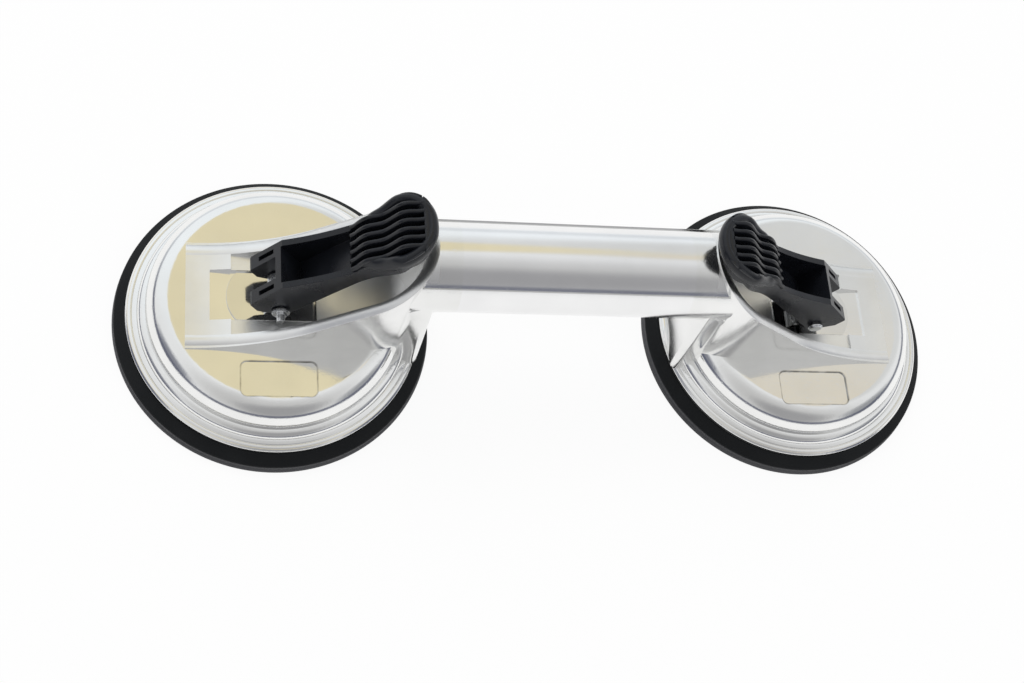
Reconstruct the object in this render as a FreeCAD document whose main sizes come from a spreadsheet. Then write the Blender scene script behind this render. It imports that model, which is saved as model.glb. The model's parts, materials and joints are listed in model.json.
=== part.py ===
"""Floor tile suction lifter: two rubber cups under cast aluminium dishes, joined by a round handle.

World frame: X runs along the handle, Y across it, Z up, with the origin on the floor midway between
the cups. Each cup is drawn in a frame of its own, whose X points inward to the handle; the right cup
is that frame turned half round. The cam levers are drawn about their pivot.
"""
import FreeCAD
import Part
import math
import os
import Sketcher

Vector = FreeCAD.Vector
UP = Vector(0, 0, 1)

# Driving dimensions, in millimetres and degrees.
SIZES = {
    "cup_pitch": 210.0,
    # rubber pad
    "pad_dia": 120.0, "pad_lip_flare": 0.5, "pad_edge": 4.3, "pad_seat": 7.2, "pad_land": 14.0,
    "pad_hollow": 1.0, "pad_bead": 2.6, "pad_gap": 0.2,
    # cast dish
    "flange_dia": 111.0, "flange_top": 10.0, "flange_chamfer": 0.6, "collar_rise": 3.4,
    "collar_width": 3.2, "collar_turn": 3.6, "crown": 24.5, "crown_flat": 39.4, "shoulder_turn": 9.0,
    "dish_wall": 3.0, "guide_wall": 3.0, "guide_depth": 4.0, "guide_gap": 0.3,
    "panel_length": 28.0, "panel_width": 13.8, "panel_offset": 32.6, "panel_depth": 0.6,
    "panel_corner": 2.5,
    # cast hood round the lever, with its leg and the stub of the handle
    "hood_width": 41.0, "hood_foot_width": 43.0, "hood_wall": 4.1, "hood_nose": 52.8,
    "hood_start": 34.0, "ramp_step": 0.6, "ramp_turn": 76.0, "ramp_angle": 38.3, "hood_floor": 1.5,
    "recess_width": 20.4, "recess_start": 25.2, "recess_end": 14.0, "pocket_start": 17.5,
    "leg_face": 53.7, "leg_foot_width": 39.0, "leg_top_width": 32.8, "leg_overlap": 2.0,
    "leg_depth": 12.0, "leg_waist": 31.6, "leg_corner": 2.5, "leg_root": 3.5,
    "underside_bend": 6.5, "bend_inset": 0.3, "stub_land": 1.2,
    # handle
    "handle_dia": 33.8, "handle_height": 55.7, "handle_bore": 26.0, "ledge": 0.6,
    "ledge_angle": 33.0,
    # pull stud, the plate in the pad, and the pivot
    "pivot_height": 33.8, "stud_dia": 7.0, "eye_dia": 9.4, "eye_width": 7.4, "stud_collar_dia": 12.0,
    "stud_collar": 1.5, "plate_dia": 36.0, "plate_thickness": 2.5, "plate_height": 6.0,
    "plate_gap": 0.3, "fit": 0.05, "pin_dia": 3.9, "pin_head_dia": 5.8, "pin_head": 1.4,
    "pin_tail_dia": 3.2, "pin_tail": 3.6, "washer_dia": 6.8, "washer_thickness": 0.6, "side_gap": 0.5,
    # return spring
    "spring_dia": 21.0, "spring_wire": 1.6, "spring_turns": 3.5,
    # wear plate under the cam
    "wear_gap": 0.6, "wear_thickness": 0.6, "wear_reach": 19.2, "wear_end_turn": 14.0,
    "wear_shoulder": 15.6, "wear_inner": 13.0, "stud_clear": 0.7,
    # cam lever: side profile round the pivot
    "swing": 131.0, "stroke": 4.0, "left_ajar": 6.0, "cam_flat": 11.67, "cam_heel": 2.5,
    "cam_round": 1.5, "cam_top": 15.0, "chin": 8.6, "boss_radius": 4.0, "back_angle": 45.6,
    "back_length": 61.5, "nose_out": 8.6, "nose_rise": 4.9, "nose_turn": 7.0,
    "lip_back": 3.5, "lip_rise": 3.3, "lip_turn": 4.0, "wall_turn": 90.0,
    "grip_start": 27.0, "grip_start_height": 31.2, "dip_reach": 35.0, "dip_height": 39.5,
    "rise_reach": 40.5, "rise_height": 43.7, "wave_turn": 29.0, "lip_wave_turn": 18.0,
    # cam lever: widths and what is cut from it
    "ear_width": 19.2, "ear_gap": 8.4, "eye_gap": 0.4, "grip_width": 27.2, "grip_length": 12.0,
    "flare_reach": 38.0, "flare_width": 24.4, "flare_turn": 30.0, "grip_turn": 12.9,
    "lever_wall": 2.4, "web_start": 11.1, "web_end": 14.2, "web_thickness": 2.4,
    "trough_end": 25.0, "slot_start": 1.9, "slot_end": 10.1, "slot_width": 1.7, "slot_depth": 5.0,
    "groove_width": 1.7, "groove_pitch": 3.3, "groove_margin": 4.5, "groove_run_out": 4.0,
    "lip_wall": 4.3,
}

doc = FreeCAD.newDocument("SuctionLifter")
sheet = doc.addObject("Spreadsheet::Sheet", "Sizes")
for row, (alias, size) in enumerate(SIZES.items(), 1):
    sheet.set("A%d" % row, alias)
    sheet.set("B%d" % row, str(size))
    sheet.setAlias("B%d" % row, alias)
probe = doc.addObject("App::FeaturePython", "Probe")
doc.recompute()


# ---- expressions over the sheet ----
def named(text):
    """The expression with each size's name turned into a reference to its cell."""
    words = []
    word = ""
    for letter in text + " ":
        if letter.isalnum() or letter == "_":
            word += letter
            continue
        words.append("Sizes." + word if word in SIZES else word)
        words.append(letter)
        word = ""
    return "".join(words).strip()


def number(text):
    return float(probe.evalExpression(named(text)))


def plus(*texts):
    return " + ".join("(%s)" % text for text in texts)


def along(distance, angle, start=("0", "0")):
    """The point at a distance from start in the direction of angle."""
    x, y = start
    return (plus(x, "(%s) * cos(%s)" % (distance, angle)),
            plus(y, "(%s) * sin(%s)" % (distance, angle)))


# ---- sketches and features ----
def new_body(name):
    body = doc.addObject("PartDesign::Body", name)
    body.Label = name
    return body


def plane_of(body, role):
    return [item for item in body.Origin.OriginFeatures if item.Role == role][0]


def new_sketch(body, role, offset="0"):
    """A sketch on one of the body's own planes, moved along the plane's normal by offset."""
    sketch = body.newObject("Sketcher::SketchObject", body.Name + "_sketch")
    sketch.AttachmentSupport = [(plane_of(body, role), "")]
    sketch.MapMode = "FlatFace"
    sketch.setExpression(".AttachmentOffset.Base.z", named(offset))
    return sketch


def pin_point(sketch, edge, end, x, y):
    for axis, text in (("X", x), ("Y", y)):
        index = sketch.addConstraint(
            Sketcher.Constraint("Distance" + axis, edge, end, number(text)))
        sketch.setExpression("Constraints[%d]" % index, named(text))


def arc(start, end, radius, side):
    """The arc from start to end that bulges to the left (+1) or right (-1) of the way there."""
    chord = end - start
    left = Vector(-chord.y, chord.x, 0).normalize()
    centre = (start + end) * 0.5 - left * (side * math.sqrt(radius ** 2 - (chord.Length / 2) ** 2))
    first, last = (start, end) if side < 0 else (end, start)
    angles = [math.atan2(point.y - centre.y, point.x - centre.x) for point in (first, last)]
    if angles[1] < angles[0]:
        angles[1] += 2 * math.pi
    return Part.ArcOfCircle(Part.Circle(centre, UP, radius), *angles)


def outline(sketch, corners):
    """A closed loop. A corner is (x, y), reached by a straight edge, or (x, y, radius, side),
    reached by an arc that bulges to the left (+1) or right (-1) of the way there."""
    points = [Vector(number(corner[0]), number(corner[1]), 0) for corner in corners]
    edges = []
    for index, corner in enumerate(corners):
        if len(corner) == 2:
            edge = Part.LineSegment(points[index - 1], points[index])
        else:
            edge = arc(points[index - 1], points[index], number(corner[2]), corner[3])
        edges.append(sketch.addGeometry(edge, False))
    for index, corner in enumerate(corners):
        edge, following = edges[index], edges[(index + 1) % len(edges)]
        goes_round_left = len(corner) == 4 and corner[3] > 0
        here = 1 if goes_round_left else 2
        after = corners[(index + 1) % len(corners)]
        there = 2 if len(after) == 4 and after[3] > 0 else 1
        sketch.addConstraint(Sketcher.Constraint("Coincident", edge, here, following, there))
        pin_point(sketch, edge, here, corner[0], corner[1])
        if len(corner) == 4:
            bound = sketch.addConstraint(Sketcher.Constraint("Radius", edge, number(corner[2])))
            sketch.setExpression("Constraints[%d]" % bound, named(corner[2]))


def circle(sketch, diameter, x="0", y="0"):
    centre = Vector(number(x), number(y), 0)
    ring = sketch.addGeometry(Part.Circle(centre, UP, number(diameter) / 2), False)
    pin_point(sketch, ring, 3, x, y)
    bound = sketch.addConstraint(Sketcher.Constraint("Diameter", ring, number(diameter)))
    sketch.setExpression("Constraints[%d]" % bound, named(diameter))


def rectangle(sketch, x_low, x_high, y_low, y_high):
    outline(sketch, [(x_low, y_low), (x_high, y_low), (x_high, y_high), (x_low, y_high)])


def rounded_rectangle(sketch, x_low, x_high, y_low, y_high, radius):
    in_left, in_right = plus(x_low, radius), "%s - %s" % (x_high, radius)
    in_low, in_high = plus(y_low, radius), "%s - %s" % (y_high, radius)
    outline(sketch, [(in_right, y_low), (x_high, in_low, radius, -1), (x_high, in_high),
                     (in_right, y_high, radius, -1), (in_left, y_high),
                     (x_low, in_high, radius, -1), (x_low, in_low), (in_left, y_low, radius, -1)])


def extrude(kind, sketch, length, both_ways=False, backwards=False):
    """A Pad or a Pocket of the sketch."""
    body = sketch.getParentGeoFeatureGroup()
    feature = body.newObject("PartDesign::" + kind, body.Name + "_" + kind.lower())
    feature.Profile = sketch
    feature.setExpression("Length", named(length))
    feature.Midplane = both_ways
    feature.Reversed = backwards
    sketch.Visibility = False
    before = body.Shape.Volume if kind == "Pocket" else 0
    doc.recompute()
    if kind == "Pocket" and not body.Shape.Volume < before - 1e-6:
        raise ValueError(body.Name + ": a pocket cuts nothing")
    return feature


def turn(kind, sketch, axis="V_Axis", angle=360, backwards=False):
    """A Revolution or a Groove of the sketch round one of its own axes."""
    body = sketch.getParentGeoFeatureGroup()
    feature = body.newObject("PartDesign::" + kind, body.Name + "_" + kind.lower())
    feature.Profile = sketch
    feature.ReferenceAxis = (sketch, [axis])
    feature.Angle = angle
    feature.Reversed = backwards
    before = body.Shape.Volume if kind == "Groove" else 0
    doc.recompute()
    if kind == "Groove" and not body.Shape.Volume < before - 1e-6:
        raise ValueError(body.Name + ": a groove cuts nothing")
    return feature


def ease_edges(kind, body, size, wanted):
    """A Fillet or a Chamfer on each edge of the body for which wanted(edge) is true."""
    base = body.Tip
    names = ["Edge%d" % (index + 1) for index, edge in enumerate(base.Shape.Edges) if wanted(edge)]
    feature = body.newObject("PartDesign::" + kind, body.Name + "_" + kind.lower())
    feature.Base = (base, names)
    feature.setExpression("Radius" if kind == "Fillet" else "Size", named(size))
    doc.recompute()
    return feature


# ---- the two cups' frames ----
SIDES = {"left": -1, "right": 1}


def place(item, side, height="0", tilt="0"):
    """Puts an item that is drawn in its cup's frame, or about its pivot, into the world."""
    item.Placement = FreeCAD.Placement(Vector(), FreeCAD.Rotation())
    item.setExpression(".Placement.Base.x", named("%d * cup_pitch / 2" % SIDES[side]))
    item.setExpression(".Placement.Base.z", named(height))
    if side == "right":
        item.Placement.Rotation = FreeCAD.Rotation(UP, 180)
    else:
        item.Placement.Rotation = FreeCAD.Rotation(Vector(0, -1, 0), number(tilt))


def stud_lift(side):
    """How far the stud stands above its lowest place, because that side's lever is left ajar."""
    return "stroke * left_ajar / swing" if side == "left" else "0"


# ---- rubber pad and what pulls it ----
def make_pad(side):
    pad = new_body("pad_" + side)
    sketch = new_sketch(pad, "XZ_Plane")
    pad_top = "plate_height - pad_gap"
    bead = plus("plate_dia / 2", "plate_gap")
    outline(sketch, [
        ("0", "pad_hollow"), ("pad_dia / 2 - pad_land", "0"), ("pad_dia / 2 + pad_lip_flare", "0"),
        ("pad_dia / 2", "pad_edge"), ("flange_dia / 2 + pad_gap", "pad_seat"),
        ("crown_flat + shoulder_turn - dish_wall", "pad_seat"), ("crown_flat", pad_top),
        (plus(bead, "pad_bead"), pad_top), (plus(bead, "pad_bead"), plus(pad_top, "pad_bead")),
        (bead, plus(pad_top, "pad_bead")), (bead, pad_top), ("0", pad_top)])
    turn("Revolution", sketch)
    place(pad, side)
    return pad


def make_insert_plate(side):
    plate = new_body("insert_plate_" + side)
    sketch = new_sketch(plate, "XY_Plane", "plate_height")
    circle(sketch, "plate_dia")
    circle(sketch, "stud_dia + 2 * fit")
    extrude("Pad", sketch, "plate_thickness")
    place(plate, side, stud_lift(side))
    return plate


def make_stud(side):
    stud = new_body("pull_stud_" + side)
    shank = new_sketch(stud, "XZ_Plane")
    seat = "plate_height + plate_thickness"
    outline(shank, [
        ("0", "plate_height"), ("stud_dia / 2", "plate_height"), ("stud_dia / 2", seat),
        ("stud_collar_dia / 2", seat), ("stud_collar_dia / 2", seat + " + stud_collar"),
        ("stud_dia / 2", seat + " + stud_collar"), ("stud_dia / 2", "pivot_height"),
        ("0", "pivot_height")])
    turn("Revolution", shank)
    eye = new_sketch(stud, "XZ_Plane")
    circle(eye, "eye_dia", "0", "pivot_height")
    extrude("Pad", eye, "eye_width", both_ways=True)
    bore = new_sketch(stud, "XZ_Plane")
    circle(bore, "pin_dia + 2 * fit", "0", "pivot_height")
    extrude("Pocket", bore, "2 * stud_dia", both_ways=True)
    place(stud, side, stud_lift(side))
    return stud


def make_pivot_pin(side):
    """The pin lies along Y, with its head on the cup frame's +Y side and its tail through a washer."""
    pin = new_body("pivot_pin_" + side)
    head_face = "ear_width / 2 + side_gap"
    shank = new_sketch(pin, "XZ_Plane", "-(%s)" % head_face)
    circle(shank, "pin_dia")
    shank_length = "2 * (%s) + washer_thickness" % head_face
    extrude("Pad", shank, shank_length)
    tail = new_sketch(pin, "XZ_Plane", "-(%s) + %s" % (head_face, shank_length))
    circle(tail, "pin_tail_dia")
    extrude("Pad", tail, "pin_tail")
    head = new_sketch(pin, "XZ_Plane", "-(%s)" % head_face)
    circle(head, "pin_head_dia")
    extrude("Pad", head, "pin_head", backwards=True)
    crown_y = number(plus(head_face, "pin_head"))
    ease_edges("Chamfer", pin, "pin_head / 2",
               lambda edge: abs(edge.BoundBox.YMin - crown_y) < 1e-3)
    place(pin, side, plus("pivot_height", stud_lift(side)))
    return pin


def make_washer(side):
    washer = new_body("pin_washer_" + side)
    sketch = new_sketch(washer, "XZ_Plane", "ear_width / 2 + side_gap")
    circle(sketch, "washer_dia")
    circle(sketch, "pin_dia + 2 * fit")
    extrude("Pad", sketch, "washer_thickness")
    place(washer, side, plus("pivot_height", stud_lift(side)))
    return washer


def make_spring(side):
    """A compression spring between the plate in the pad and the underside of the dish."""
    seat = "plate_height + plate_thickness"
    roof = "crown - dish_wall"
    first = plus(seat, stud_lift(side), "spring_wire / 2", "pad_gap")
    path = doc.addObject("Part::Helix", "spring_path_" + side)
    path.setExpression("Radius", named("(spring_dia - spring_wire) / 2"))
    path.setExpression("Height", named("%s - (%s) - spring_wire / 2 - pad_gap" % (roof, first)))
    path.setExpression("Pitch", named("(%s - (%s) - spring_wire / 2 - pad_gap) / spring_turns"
                                      % (roof, first)))
    wire = doc.addObject("Part::RegularPolygon", "spring_wire_" + side)
    wire.Polygon = 8
    wire.setExpression("Circumradius", named("spring_wire / 2"))
    wire.Placement = FreeCAD.Placement(Vector(), FreeCAD.Rotation(Vector(1, 0, 0), 90))
    wire.setExpression(".Placement.Base.x", named("(spring_dia - spring_wire) / 2"))
    doc.recompute()
    spring = doc.addObject("Part::Sweep", "return_spring_" + side)
    spring.Sections = [wire]
    spring.Spine = (path, ["Edge1"])
    spring.Solid = True
    spring.Frenet = True
    spring.Label = "return_spring_" + side
    place(spring, side, first)
    return spring


# ---- castings ----
def dish_top(flange_reach):
    """The dish's outer profile as (radius, height) corners, from the axis out to flange_reach."""
    collar = "crown_flat + shoulder_turn"
    return [("0", "crown"), ("crown_flat", "crown"),
            (collar, "crown - shoulder_turn", "shoulder_turn", 1),
            (collar, "flange_top + collar_rise"),
            (collar + " + collar_width", "flange_top", "collar_turn", 1),
            (flange_reach, "flange_top")]


def make_dish(side):
    dish = new_body("dish_" + side)
    sketch = new_sketch(dish, "XZ_Plane")
    bore = "stud_dia / 2 + guide_gap"
    guide = bore + " + guide_wall"
    roof = "crown - dish_wall"
    inside = "crown_flat + shoulder_turn - dish_wall"
    flange_foot = "pad_seat + pad_gap"
    profile = dish_top("flange_dia / 2 - flange_chamfer")
    profile[0] = (bore, "crown")
    outline(sketch, profile + [
        ("flange_dia / 2", "flange_top - flange_chamfer"),
        ("flange_dia / 2", flange_foot), (inside, flange_foot), (inside, "crown - shoulder_turn"),
        ("crown_flat", roof), (guide, roof),
        (guide, roof + " - guide_depth"), (bore, roof + " - guide_depth")])
    turn("Revolution", sketch)
    front = SIDES[side]
    middle = "%d * panel_offset" % front
    panel = new_sketch(dish, "XY_Plane", "crown")
    rounded_rectangle(panel, "-panel_length / 2", "panel_length / 2",
                      middle + " - panel_width / 2", middle + " + panel_width / 2",
                      "panel_corner")
    extrude("Pocket", panel, "panel_depth")
    place(dish, side)
    return dish


def handle_section(sketch):
    """The handle's outer section in its (across, up) plane: a lower band stands proud by a ledge."""
    radius = "handle_dia / 2"
    upper = radius + " - ledge"
    axis = ("0", "handle_height")
    left, right = "180 - ledge_angle", "ledge_angle"
    outline(sketch, [
        along(radius, right, axis), along(upper, right, axis),
        along(upper, "90", axis) + (upper, -1), along(upper, left, axis) + (upper, -1),
        along(radius, left, axis), along(radius, "180", axis) + (radius, -1),
        along(radius, "270", axis) + (radius, -1), along(radius, "0", axis) + (radius, -1)])


def hood_plan(sketch, start, foot, half, nose_middle):
    """A U open to no side: straight sides that run to a half-round nose."""
    outline(sketch, [
        ("-(%s)" % start, "-(%s)" % foot), (nose_middle, "-(%s)" % half),
        (plus(nose_middle, half), "0", half, -1), (nose_middle, half, half, -1),
        ("-(%s)" % start, foot)])


# The stub's face, where the handle starts, beyond the bend at the top of the leg.
STUB_REACH = "(leg_face + underside_bend + stub_land)"


def make_hood(side):
    hood = new_body("hood_" + side)
    half = "hood_width / 2"
    nose_middle = "hood_nose - hood_width / 2"
    ceiling = "handle_height + handle_dia"

    block = new_sketch(hood, "XY_Plane", "flange_top")
    hood_plan(block, "hood_start", "hood_foot_width / 2", half, nose_middle)
    extrude("Pad", block, ceiling + " - flange_top")

    # The leg stands against the nose, blended into it, and bends into the handle's stub.
    foot = new_sketch(hood, "XY_Plane", "flange_top")
    top = new_sketch(hood, "XY_Plane", "handle_height + leg_overlap")
    for sketch, width in ((foot, "leg_foot_width"), (top, "leg_top_width")):
        edge = "(%s) / 2" % width
        inner = "leg_face - leg_corner"
        outline(sketch, [
            ("leg_face - leg_depth", "-leg_waist / 2"), (inner, "-" + edge),
            ("leg_face", "leg_corner - " + edge, "leg_corner", -1),
            ("leg_face", edge + " - leg_corner"), (inner, edge, "leg_corner", -1),
            ("leg_face - leg_depth", "leg_waist / 2")])
    leg = hood.newObject("PartDesign::AdditiveLoft", "leg_" + side)
    leg.Profile = foot
    leg.Sections = [top]
    leg.Ruled = True
    doc.recompute()
    lowest, highest = number("flange_top"), number("handle_height + leg_overlap")
    corner_start = number("leg_face - leg_corner")
    ease_edges("Fillet", hood, "leg_root", lambda edge: (
        abs(edge.BoundBox.ZMin - lowest) < 1e-3 and abs(edge.BoundBox.ZMax - highest) < 1e-3
        and number("leg_face - leg_depth") < edge.BoundBox.XMax < corner_start - 1e-3))
    bend = new_sketch(hood, "YZ_Plane", "leg_face + underside_bend")
    bend.setExpression(".AttachmentOffset.Base.y",
                       named("handle_height - handle_dia / 2 - underside_bend"))
    radius = "handle_dia / 2 - bend_inset"
    axis_height = "underside_bend + handle_dia / 2"
    outline(bend, [
        ("-(%s)" % radius, axis_height), ("0", "underside_bend + bend_inset", radius, -1),
        (radius, axis_height, radius, -1)])
    turn("Revolution", bend, "H_Axis", 90, backwards=True)
    stub = new_sketch(hood, "YZ_Plane", nose_middle)
    handle_section(stub)
    extrude("Pad", stub, "%s - (%s)" % (STUB_REACH, nose_middle))

    # The rim: a ramp that starts level, curves up and runs on straight to the nose.
    rim = new_sketch(hood, "XZ_Plane")
    low = "crown + ramp_step"
    bend = ("-hood_start + ramp_turn * sin(ramp_angle)", low + " + ramp_turn * (1 - cos(ramp_angle))")
    far = "2 * hood_nose"
    outline(rim, [
        ("-2 * hood_start", low), ("-hood_start", low), bend + ("ramp_turn", -1),
        (far, "%s + (%s - (%s)) * tan(ramp_angle)" % (bend[1], far, bend[0])),
        (far, "4 * handle_height"), ("-2 * hood_start", "4 * handle_height")])
    extrude("Pocket", rim, "4 * hood_width", both_ways=True)

    # The pocket for the lever, and the deeper recess for the wear plate.
    inner_half = half + " - hood_wall"
    pocket = new_sketch(hood, "XY_Plane", ceiling)
    hood_plan(pocket, "pocket_start", inner_half, inner_half, nose_middle)
    extrude("Pocket", pocket, ceiling + " - crown - hood_floor")
    recess = new_sketch(hood, "XY_Plane", ceiling)
    rectangle(recess, "-recess_start", "recess_end", "-recess_width / 2", "recess_width / 2")
    extrude("Pocket", recess, ceiling + " - crown")

    # The foot follows the top of the dish.
    foot_cut = new_sketch(hood, "XZ_Plane")
    outline(foot_cut, dish_top("flange_dia") + [("flange_dia", "0"), ("0", "0")])
    turn("Groove", foot_cut)
    place(hood, side)
    return hood


def make_wear_plate(side):
    plate = new_body("wear_plate_" + side)
    sketch = new_sketch(plate, "XY_Plane", "crown")
    half = "recess_width / 2 - wear_gap"
    outline(sketch, [
        ("-wear_shoulder", half), ("-wear_reach", "0", "wear_end_turn", -1),
        ("-wear_shoulder", "-(%s)" % half, "wear_end_turn", -1),
        ("wear_inner", "-(%s)" % half), ("wear_inner", half)])
    circle(sketch, "stud_dia + 2 * stud_clear")
    extrude("Pad", sketch, "wear_thickness")
    place(plate, side)
    return plate


def make_handle():
    handle = new_body("handle")
    sketch = new_sketch(handle, "YZ_Plane")
    handle_section(sketch)
    circle(sketch, "handle_bore", "0", "handle_height")
    extrude("Pad", sketch, "cup_pitch - 2 * " + STUB_REACH, both_ways=True)
    return handle


# ---- cam lever ----
FLAT = "180 - swing"


def flat_point(along_flat):
    """A point on the cam's flat, which lies on the wear plate when the lever is thrown over."""
    return along(along_flat, FLAT, along("cam_flat", "90 + " + FLAT))


def make_lever(side):
    lever = new_body("cam_lever_" + side)

    # Side profile: ears, back, nose, waved grip, wall top.
    profile = new_sketch(lever, "XZ_Plane")
    tip = along("-cam_heel", FLAT, along("cam_flat - cam_round", "90 + " + FLAT))
    back_start = along("boss_radius", "back_angle - 90")
    back_end = along("back_length", "back_angle", back_start)
    nose = (plus(back_end[0], "nose_out"), plus(back_end[1], "nose_rise"))
    lip = (nose[0] + " - lip_back", plus(nose[1], "lip_rise"))
    outline(profile, [
        flat_point("-cam_heel"),
        (plus(tip[0], "-cam_round"), tip[1], "cam_round", 1),
        ("-chin", "0"), along("boss_radius", "250"), back_start + ("boss_radius", -1), back_end,
        nose + ("nose_turn", -1), lip + ("lip_turn", -1),
        ("rise_reach", "rise_height", "lip_wave_turn", -1),
        ("dip_reach", "dip_height", "wave_turn", 1),
        ("grip_start", "grip_start_height", "wave_turn", -1),
        flat_point("cam_top") + ("wall_turn", 1)])
    extrude("Pad", profile, "grip_width", both_ways=True)

    # Plan: parallel ears and walls that flare out to a spoon-shaped grip.
    plan = new_sketch(lever, "XY_Plane")
    clear, beyond = "-2 * cam_flat", "2 * (%s)" % nose[0]
    ear, flare, grip = "ear_width / 2", "flare_width / 2", "grip_width / 2"
    grip_middle = nose[0] + " - grip_length"
    outline(plan, [
        (clear, "-" + ear), ("grip_start", "-" + ear), ("flare_reach", "-" + flare, "flare_turn", 1),
        (grip_middle, "-" + grip, "flare_turn", -1), (nose[0], "0", "grip_turn", -1),
        (grip_middle, grip, "grip_turn", -1), ("flare_reach", flare, "flare_turn", -1),
        ("grip_start", ear, "flare_turn", 1), (clear, ear)])
    rectangle(plan, "2 * (%s)" % clear, beyond, "-grip_width", "grip_width")
    extrude("Pocket", plan, "2 * (%s)" % beyond, both_ways=True)

    # The trough between the walls, closed by a web towards the pivot.
    floor_start = along("boss_radius - lever_wall", "back_angle - 90")
    def floor(reach):
        """The height of the trough's floor, one wall above the lever's back."""
        return "%s + (%s - (%s)) * tan(back_angle)" % (floor_start[1], reach, floor_start[0])
    clearance = "eye_dia / 2 + eye_gap"
    web_foot = plus(clearance, "web_thickness")
    web_top = flat_point("web_end")
    above = "2 * (%s)" % lip[1]
    trough = new_sketch(lever, "XZ_Plane")
    outline(trough, [
        (web_top[0], above), web_top, (web_foot, floor(web_foot)),
        ("trough_end", floor("trough_end")), ("grip_start", above)])
    extrude("Pocket", trough, "ear_width - 2 * lever_wall", both_ways=True)

    # Lengthwise grooves leave the ribs of the grip.
    groove_end = nose[0] + " - groove_margin"
    run_out = groove_end + " - groove_run_out"
    for step in range(-3, 4):
        outer = abs(step) == 3
        start = "flare_reach" if outer else "trough_end"
        groove = new_sketch(lever, "XZ_Plane", "%d * groove_pitch" % step)
        outline(groove, [
            (start, above), (start, floor(start)), (run_out, floor(run_out)),
            (groove_end, lip[1] + " - lip_wall"), (groove_end, above)])
        extrude("Pocket", groove, "groove_width", both_ways=True)

    # The gap between the ears for the stud, the pin's bore, and the slots in the ears' cam faces.
    gap = new_sketch(lever, "XZ_Plane")
    gap_top = flat_point("web_start")
    outline(gap, [
        gap_top, along("cam_flat", "90 + " + FLAT, gap_top), ("-3 * cam_flat", "-3 * cam_flat"),
        (clearance, "-3 * cam_flat"), (clearance, "0"),
        along(clearance, "60") + (clearance, -1)])
    extrude("Pocket", gap, "ear_gap", both_ways=True)
    bore = new_sketch(lever, "XZ_Plane")
    circle(bore, "pin_dia + 2 * fit")
    extrude("Pocket", bore, "2 * grip_width", both_ways=True)
    for hand in (-1, 1):
        middle = "%d * (ear_width + ear_gap) / 4" % hand
        slot = new_sketch(lever, "XZ_Plane", middle)
        start, end = flat_point("slot_start"), flat_point("slot_end")
        outline(slot, [
            along("slot_depth", "90 + " + FLAT, start), along("-slot_depth", "90 + " + FLAT, start),
            along("-slot_depth", "90 + " + FLAT, end), along("slot_depth", "90 + " + FLAT, end)])
        extrude("Pocket", slot, "slot_width", both_ways=True)
    place(lever, side, plus("pivot_height", stud_lift(side)), "left_ajar")
    return lever


parts = [make_handle()]
for side in SIDES:
    parts += [make_dish(side), make_hood(side), make_wear_plate(side), make_lever(side),
              make_stud(side), make_pivot_pin(side), make_washer(side), make_insert_plate(side),
              make_spring(side), make_pad(side)]
doc.recompute()

for item in doc.Objects:
    if "Invalid" in item.State or "Error" in item.State:
        raise ValueError("%s failed: %s" % (item.Label, item.State))
for part in parts:
    if part.Shape.isNull() or not part.Shape.isValid() or len(part.Shape.Solids) != 1:
        raise ValueError("%s has no single valid solid" % part.Label)

os.makedirs("parts", exist_ok=True)
for part in parts:
    part.Shape.exportStep("parts/%s.step" % part.Label)
    print("%-24s %9.1f mm3" % (part.Label, part.Shape.Volume))
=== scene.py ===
"""Floor tile suction lifter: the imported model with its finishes, rubber pads and small trim.

Everything is in metres in the part's own frame: X along the handle, Z up, the floor at zero.
"""
import json
import math

import bmesh
import bpy
from mathutils import Matrix, Quaternion, Vector
from mathutils.bvhtree import BVHTree


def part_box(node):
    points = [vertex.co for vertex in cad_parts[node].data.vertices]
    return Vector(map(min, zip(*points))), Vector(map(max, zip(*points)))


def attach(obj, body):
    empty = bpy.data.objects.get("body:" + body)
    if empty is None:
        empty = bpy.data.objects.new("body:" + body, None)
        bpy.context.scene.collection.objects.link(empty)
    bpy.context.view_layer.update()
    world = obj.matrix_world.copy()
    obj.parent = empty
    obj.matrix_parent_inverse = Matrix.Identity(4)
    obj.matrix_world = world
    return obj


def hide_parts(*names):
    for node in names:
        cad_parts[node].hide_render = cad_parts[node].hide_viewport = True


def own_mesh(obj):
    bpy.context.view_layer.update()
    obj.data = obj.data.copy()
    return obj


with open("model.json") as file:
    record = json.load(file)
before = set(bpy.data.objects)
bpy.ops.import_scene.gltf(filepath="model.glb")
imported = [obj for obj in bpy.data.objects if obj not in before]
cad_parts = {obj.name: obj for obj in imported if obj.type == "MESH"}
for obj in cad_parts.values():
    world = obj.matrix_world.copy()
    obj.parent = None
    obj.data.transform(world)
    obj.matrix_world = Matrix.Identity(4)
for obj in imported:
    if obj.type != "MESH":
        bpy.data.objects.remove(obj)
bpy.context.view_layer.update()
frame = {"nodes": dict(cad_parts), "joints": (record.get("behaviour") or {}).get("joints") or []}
NODES = frame["nodes"]
JOINTS = {joint["name"]: joint for joint in frame["joints"]}
SIDES = ("left", "right")
MM = 0.001

# How far each cup's middle is from the part's.
CUP_REACH = 105.0 * MM


# ---- shader node helpers ----
def new_material(name):
    """A material and its node tree, with the shader linked to the output already."""
    material = bpy.data.materials.new(name)
    material.use_nodes = True
    tree = material.node_tree
    return material, tree, tree.nodes["Principled BSDF"]


def add_node(tree, kind, settings=None, inputs=None):
    """A node with its settings made; an input's value is a number, a colour or a socket to link."""
    node = tree.nodes.new(kind)
    for name, value in (settings or {}).items():
        setattr(node, name, value)
    for name, value in (inputs or {}).items():
        if isinstance(value, bpy.types.NodeSocket):
            tree.links.new(value, node.inputs[name])
        else:
            node.inputs[name].default_value = value
    return node


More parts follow.
